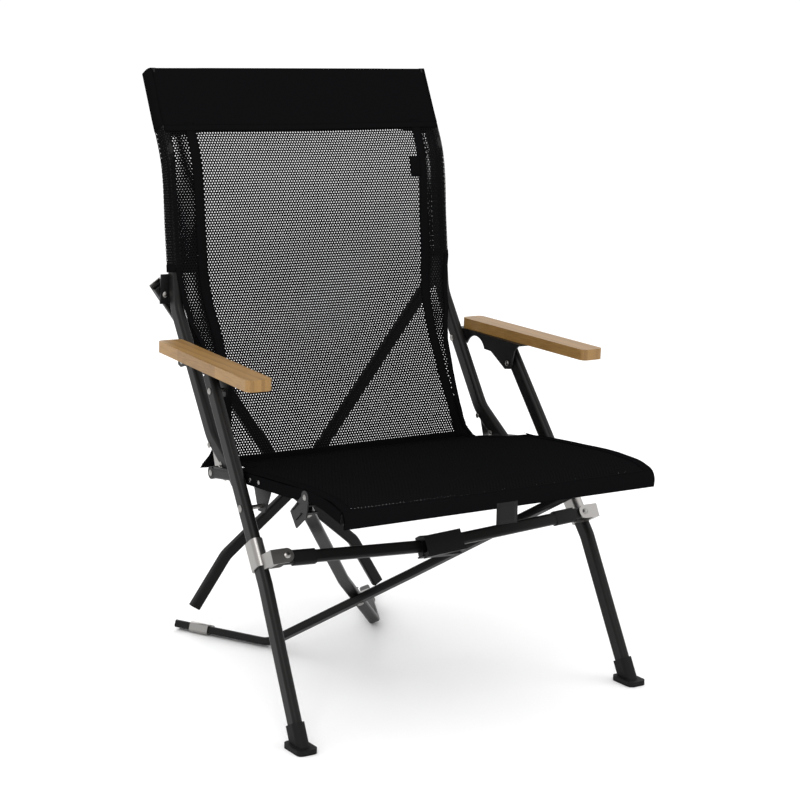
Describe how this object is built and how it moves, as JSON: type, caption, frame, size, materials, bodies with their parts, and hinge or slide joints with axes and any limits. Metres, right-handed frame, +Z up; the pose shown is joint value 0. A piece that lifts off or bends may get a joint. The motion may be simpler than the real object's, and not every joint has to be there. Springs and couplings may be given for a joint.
{
  "type": "folding mesh lounge chair",
  "caption": "High-back folding chair with a mesh sling, bamboo armrests and crossed base and back tubes that fold flat sideways.",
  "frame": {"origin": "centre of the chair's outline on the floor", "axes": "+Z up, the chair faces -Y, the sitter's left is +X"},
  "size_m": [0.5902, 0.6482, 0.8693],
  "materials": {
    "black_tube": "satin anodised",
    "black_plastic": "matte",
    "steel": "satin",
    "black_steel": "satin",
    "bamboo": "satin laminated bamboo",
    "rubber": "matte",
    "mesh_cloth": "woven mesh"
  },
  "bodies": {
    "back_right": {"back_fabric": "mesh_cloth", "back_pins_right": "steel", "back_plugs_right": "black_plastic", "back_tube_right": "black_tube", "brace_seat_right": "black_steel", "seat_hinge_plate_right": "steel"},
    "brace_right": {"brace_cross_pin": "steel", "brace_plugs_right": "black_plastic", "brace_right": "black_tube", "brace_strap_right": "steel"},
    "brace_left": {"brace_left": "black_tube", "brace_plugs_left": "black_plastic", "brace_strap_left": "steel"},
    "back_left": {"back_pins_left": "steel", "back_plugs_left": "black_plastic", "back_tube_left": "black_tube", "brace_seat_left": "black_steel", "seat_hinge_plate_left": "steel"},
    "seat_right": {"rail_hanger_right": "steel", "rail_pins_right": "steel", "rail_plugs_right": "black_plastic", "seat_fabric": "mesh_cloth", "seat_rail_right": "black_tube"},
    "seat_left": {"rail_hanger_left": "steel", "rail_pins_left": "steel", "rail_plugs_left": "black_plastic", "seat_rail_left": "black_tube"},
    "leg_right": {"foot_right": "rubber", "front_leg_right": "black_tube", "leg_pins_right": "steel", "leg_plug_right": "black_plastic", "stay_clamp_right": "steel"},
    "leg_left": {"foot_left": "rubber", "front_leg_left": "black_tube", "leg_pins_left": "steel", "leg_plug_left": "black_plastic", "stay_clamp_left": "steel"},
    "arm_right": {"arm_bracket_right": "black_steel", "arm_screws_right": "steel", "armrest_right": "bamboo"},
    "arm_left": {"arm_bracket_left": "black_steel", "arm_screws_left": "steel", "armrest_left": "bamboo"},
    "clip_right": {"clip_pins_right": "steel", "front_clip_right": "steel"},
    "clip_left": {"clip_pins_left": "steel", "front_clip_left": "steel"},
    "base_right": {"base_cross_pin": "steel", "base_hinge_right": "steel", "base_plugs_right": "black_plastic", "base_tube_right": "black_tube"},
    "base_left": {"base_hinge_left": "steel", "base_plugs_left": "black_plastic", "base_tube_left": "black_tube"},
    "stay_right": {"stay_lock_right": "black_plastic", "stay_right": "black_tube", "stay_socket_right": "black_plastic"},
    "stay_left": {"stay_left": "black_tube", "stay_lock_left": "black_plastic", "stay_socket_left": "black_plastic"}
  },
  "joints": [
    {"name": "brace_right_fold", "type": "hinge", "parent": "back_right", "child": "brace_right", "pos_m": [-0.243, 0.22044, 0.545], "axis": [0, 0.996, 0.0889], "range_deg": [0, 26], "deforming": ["back_fabric", "seat_fabric"]},
    {"name": "brace_left_fold", "type": "hinge", "parent": "brace_right", "child": "brace_left", "pos_m": [0, 0.25033, 0.21], "axis": [0, 0.996, 0.0889], "range_deg": [-52, 0]},
    {"name": "back_left_fold", "type": "hinge", "parent": "brace_left", "child": "back_left", "pos_m": [0.243, 0.22044, 0.545], "axis": [0, 0.996, 0.0889], "range_deg": [0, 26]},
    {"name": "seat_right_tilt", "type": "hinge", "parent": "back_right", "child": "seat_right", "pos_m": [-0.2471, 0.04294, 0.31], "axis": [1, 0, 0], "range_deg": [-6, 0]},
    {"name": "leg_right_tilt", "type": "hinge", "parent": "seat_right", "child": "leg_right", "pos_m": [-0.262, -0.08506, 0.288], "axis": [1, 0, 0], "range_deg": [0, 6]},
    {"name": "arm_right_tilt", "type": "hinge", "parent": "back_right", "child": "arm_right", "pos_m": [-0.233, 0.14894, 0.454], "axis": [1, 0, 0], "range_deg": [-6, 0]},
    {"name": "clip_right_tilt", "type": "hinge", "parent": "seat_right", "child": "clip_right", "pos_m": [-0.2471, -0.22706, 0.3315], "axis": [1, 0, 0], "range_deg": [-6, 0]},
    {"name": "stay_right_fold", "type": "hinge", "parent": "leg_right", "child": "stay_right", "pos_m": [-0.25, -0.16006, 0.234], "axis": [0, 0.8878, -0.4602], "range_deg": [0, 70]},
    {"name": "seat_left_tilt", "type": "hinge", "parent": "back_left", "child": "seat_left", "pos_m": [0.2471, 0.04294, 0.31], "axis": [1, 0, 0], "range_deg": [-6, 0]},
    {"name": "leg_left_tilt", "type": "hinge", "parent": "seat_left", "child": "leg_left", "pos_m": [0.262, -0.08506, 0.288], "axis": [1, 0, 0], "range_deg": [0, 6]},
    {"name": "arm_left_tilt", "type": "hinge", "parent": "back_left", "child": "arm_left", "pos_m": [0.233, 0.14894, 0.454], "axis": [1, 0, 0], "range_deg": [-6, 0]},
    {"name": "clip_left_tilt", "type": "hinge", "parent": "seat_left", "child": "clip_left", "pos_m": [0.2471, -0.22706, 0.3315], "axis": [1, 0, 0], "range_deg": [-6, 0]},
    {"name": "stay_left_fold", "type": "hinge", "parent": "leg_left", "child": "stay_left", "pos_m": [0.25, -0.16006, 0.234], "axis": [0, 0.8878, -0.4602], "range_deg": [-70, 0]},
    {"name": "base_right_fold", "type": "hinge", "parent": "clip_right", "child": "base_right", "pos_m": [-0.2396, -0.21106, 0.3035], "axis": [0, 0.6303, 0.7764], "range_deg": [0, 25.9]},
    {"name": "base_left_fold", "type": "hinge", "parent": "base_right", "child": "base_left", "pos_m": [0, 0.05194, 0.09], "axis": [0, 0.6303, 0.7764], "range_deg": [-51.79, 0]}
  ],
  "couplings": [
    {"joint": "brace_left_fold", "follows": "brace_right_fold", "ratio": -2},
    {"joint": "back_left_fold", "follows": "brace_right_fold", "ratio": 1},
    {"joint": "seat_right_tilt", "follows": "brace_right_fold", "ratio": -0.23077},
    {"joint": "leg_right_tilt", "follows": "brace_right_fold", "ratio": 0.23077},
    {"joint": "arm_right_tilt", "follows": "brace_right_fold", "ratio": -0.23077},
    {"joint": "clip_right_tilt", "follows": "brace_right_fold", "ratio": -0.23077},
    {"joint": "stay_right_fold", "follows": "brace_right_fold", "ratio": 2.6923},
    {"joint": "seat_left_tilt", "follows": "brace_right_fold", "ratio": -0.23077},
    {"joint": "leg_left_tilt", "follows": "brace_right_fold", "ratio": 0.23077},
    {"joint": "arm_left_tilt", "follows": "brace_right_fold", "ratio": -0.23077},
    {"joint": "clip_left_tilt", "follows": "brace_right_fold", "ratio": -0.23077},
    {"joint": "stay_left_fold", "follows": "brace_right_fold", "ratio": -2.6923},
    {"joint": "base_right_fold", "follows": "brace_right_fold", "ratio": 0.996},
    {"joint": "base_left_fold", "follows": "brace_right_fold", "ratio": -1.992}
  ]
}
